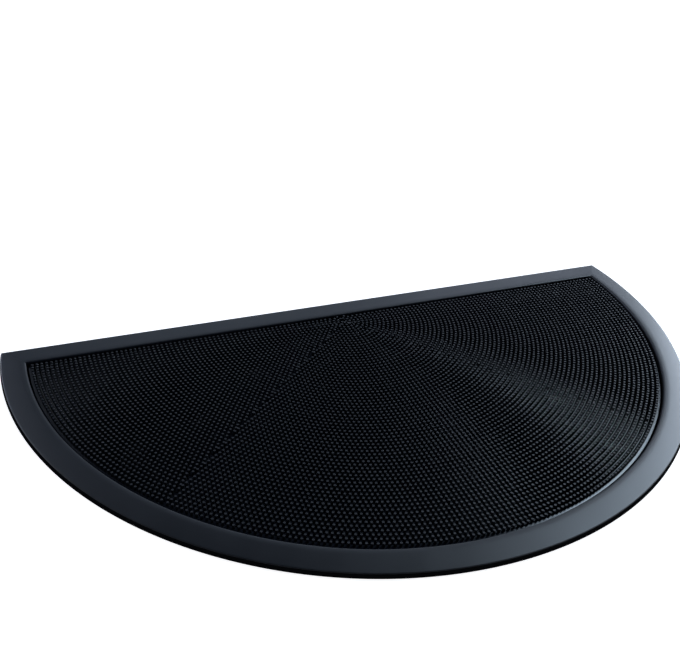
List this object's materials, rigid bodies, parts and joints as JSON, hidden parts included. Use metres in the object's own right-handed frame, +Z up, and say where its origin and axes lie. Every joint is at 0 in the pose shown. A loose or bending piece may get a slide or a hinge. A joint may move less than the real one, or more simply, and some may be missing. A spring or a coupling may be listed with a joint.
{
  "type": "half-round pin doormat",
  "caption": "Black half-round PVC doormat with a smooth sloping border and a field of scraper pins in concentric rows.",
  "frame": {"origin": "centre of the underside's bounding box, on the surface that the mat lies on", "axes": "+X along the straight back edge, +Y towards the straight back edge, +Z up out of the pins"},
  "size_m": [0.75, 0.42, 0.007],
  "materials": {
    "vinyl": "satin black moulded vinyl, smooth border, fine moulded pins"
  },
  "bodies": {
    "root": {"mat": "vinyl"}
  },
  "joints": []
}
